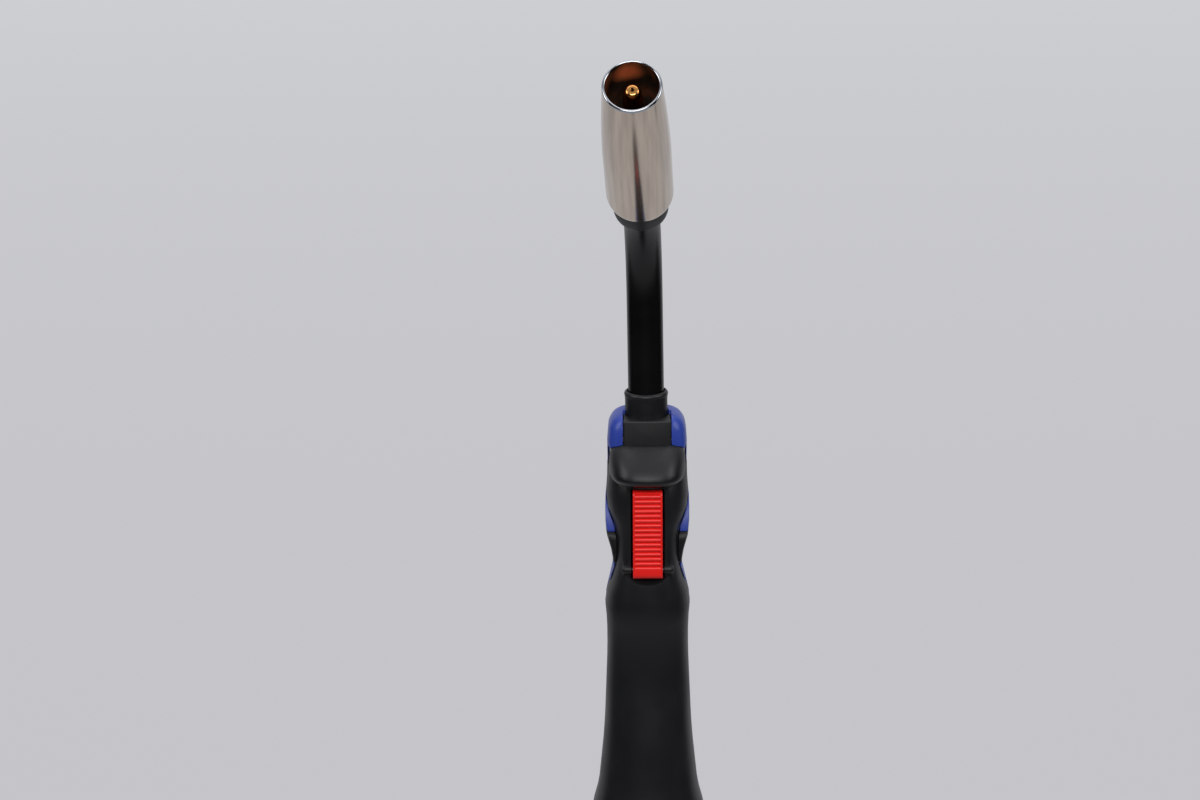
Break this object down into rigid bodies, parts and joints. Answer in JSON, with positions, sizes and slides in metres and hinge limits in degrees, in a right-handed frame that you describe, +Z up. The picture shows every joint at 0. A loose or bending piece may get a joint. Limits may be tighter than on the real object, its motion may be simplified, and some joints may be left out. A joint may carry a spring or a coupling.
{
  "type": "mig welding gun",
  "caption": "Hand-held wire welding gun: bent insulated neck with a push-on gas nozzle, and a two-part contoured handle with a ribbed trigger under a hood.",
  "frame": {"origin": "centre of the cable socket's face at the lower end of the handle", "axes": "+Z up the handle along the neck's lower axis, -Y the side that the trigger looks to and the neck bends to, X across the handle"},
  "size_m": [0.049, 0.1257, 0.3584],
  "materials": {
    "black_nylon": "satin black glass-filled nylon",
    "soft_rubber": "matt black soft grip",
    "neck_jacket": "smooth black insulating sleeve",
    "blue_nylon": "satin blue nylon",
    "red_nylon": "satin red nylon",
    "nickel": "satin nickel plate over copper",
    "copper": "bare copper",
    "brass": "turned brass",
    "steel": "zinc-plated steel",
    "ceramic": "unglazed ceramic",
    "switch_black": "moulded switch case"
  },
  "bodies": {
    "handle": {"front_shell": "black_nylon", "rear_shell": "blue_nylon", "grip_pad_left": "soft_rubber", "grip_pad_right": "soft_rubber", "rear_grip": "soft_rubber", "cable_socket": "black_nylon", "side_screw_left": "steel", "side_screw_right": "steel", "neck_clamp_block": "brass", "neck_nut": "brass", "power_connector": "brass", "connector_seal_ring": "soft_rubber", "neck_tube": "copper", "wire_liner": "steel", "neck_jacket": "neck_jacket", "neck_root_sleeve": "black_nylon", "nozzle_collar": "black_nylon", "nozzle_retaining_ring": "steel", "tip_holder": "brass", "gas_diffuser": "ceramic", "contact_tip": "copper", "trigger_pin": "steel", "trigger_spring": "steel", "switch_carrier": "black_nylon", "switch_body": "switch_black", "switch_terminal_common": "brass", "switch_terminal_open": "brass"},
    "trigger": {"trigger": "red_nylon"},
    "plunger": {"switch_plunger": "red_nylon"},
    "nozzle": {"gas_nozzle": "nickel"}
  },
  "joints": [
    {"name": "trigger_press", "type": "hinge", "parent": "handle", "child": "trigger", "pos_m": [0, -0.017, 0.134], "axis": [-1, 0, 0], "range_deg": [0, 3.5], "stiffness_Nm_per_rad": 1, "springref_deg": -1.72, "deforming": ["trigger_spring"]},
    {"name": "plunger_slide", "type": "slide", "parent": "handle", "child": "plunger", "axis": [0, 1, 0], "range_m": [0, 0.0016]},
    {"name": "nozzle_pull", "type": "slide", "parent": "handle", "child": "nozzle", "axis": [-0.0392, -0.7425, 0.6687], "range_m": [0, 0.084]}
  ],
  "couplings": [
    {"joint": "plunger_slide", "follows": "trigger_press", "m_per_rad": 0.024}
  ]
}
